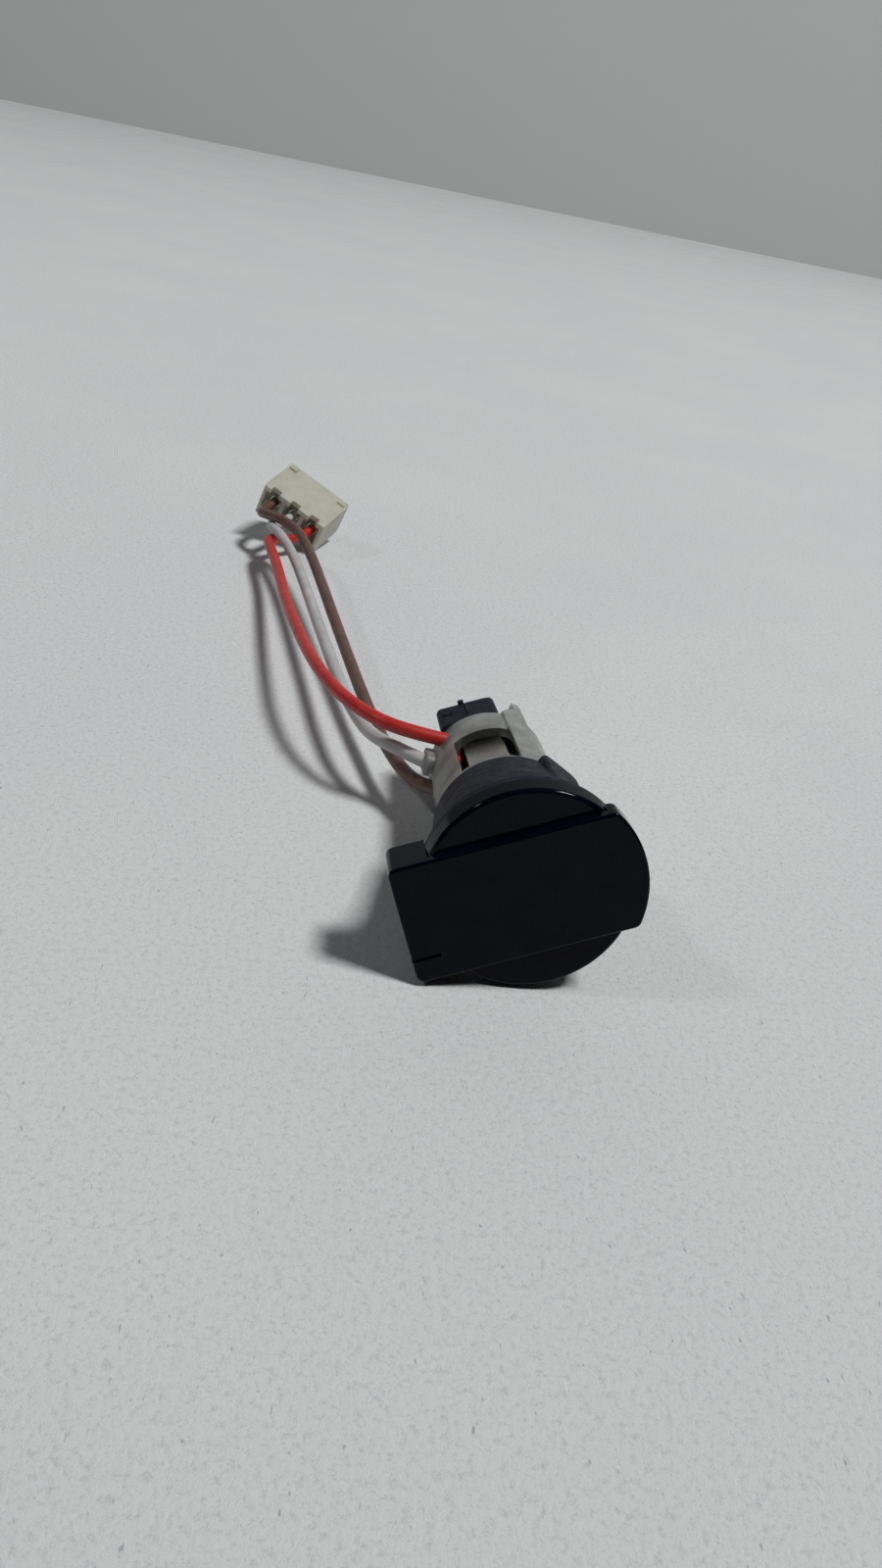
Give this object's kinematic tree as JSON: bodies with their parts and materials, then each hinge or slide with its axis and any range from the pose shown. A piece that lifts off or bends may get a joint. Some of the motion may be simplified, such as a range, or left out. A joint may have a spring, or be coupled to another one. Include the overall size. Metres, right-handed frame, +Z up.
{
  "type": "rotary selector switch",
  "caption": "Small rotary selector switch: a round knob with a grip bar and tab on a tapered collar, a cylindrical body behind it, and leads to a crimp connector.",
  "frame": {"origin": "centre of the bottom of the box round the switch, without its leads and connector, on the surface it lies on", "axes": "+Z up from that surface; the knob's face looks towards -Y, and the leads run back towards +Y"},
  "size_m": [0.0421, 0.1268, 0.0203],
  "materials": {
    "gloss_black": "gloss",
    "satin_black": "satin",
    "milky_nylon": "satin translucent",
    "ivory_nylon": "satin translucent",
    "acetal": "satin",
    "nickel_plate": "satin",
    "zinc_steel": "satin",
    "brass": "satin",
    "tin_plate": "satin",
    "solder": "satin",
    "seal_rubber": "matte",
    "red_pvc": "satin",
    "white_pvc": "satin",
    "brown_pvc": "satin"
  },
  "bodies": {
    "switch_base": {"collar": "satin_black", "seal_ring": "seal_rubber", "switch_body": "milky_nylon", "contact_frame": "nickel_plate", "terminal_block": "satin_black", "detent_spring": "zinc_steel", "terminal_red": "brass", "terminal_white": "brass", "terminal_brown": "brass", "solder_joints": "solder", "inner_lead_red": "red_pvc", "inner_lead_white": "white_pvc", "inner_lead_brown": "brown_pvc", "connector_housing": "ivory_nylon", "crimp_red": "tin_plate", "crimp_white": "tin_plate", "crimp_brown": "tin_plate", "lead_red": "red_pvc", "lead_white": "white_pvc", "lead_brown": "brown_pvc"},
    "knob": {"knob_disc": "gloss_black", "grip_bar": "gloss_black", "knob_insert": "brass", "knob_screw": "zinc_steel", "spindle": "zinc_steel", "wave_washer": "zinc_steel", "thrust_washer": "zinc_steel", "retaining_clip": "zinc_steel", "detent_cam": "acetal", "rotor": "acetal", "wiper": "brass"}
  },
  "joints": [
    {"name": "knob_turn", "type": "hinge", "parent": "switch_base", "child": "knob", "pos_m": [0.00117, -0.01693, 0.01036], "axis": [0, -0.992, 0.1264], "range_deg": [-45, 45], "deforming": ["detent_spring"]}
  ]
}
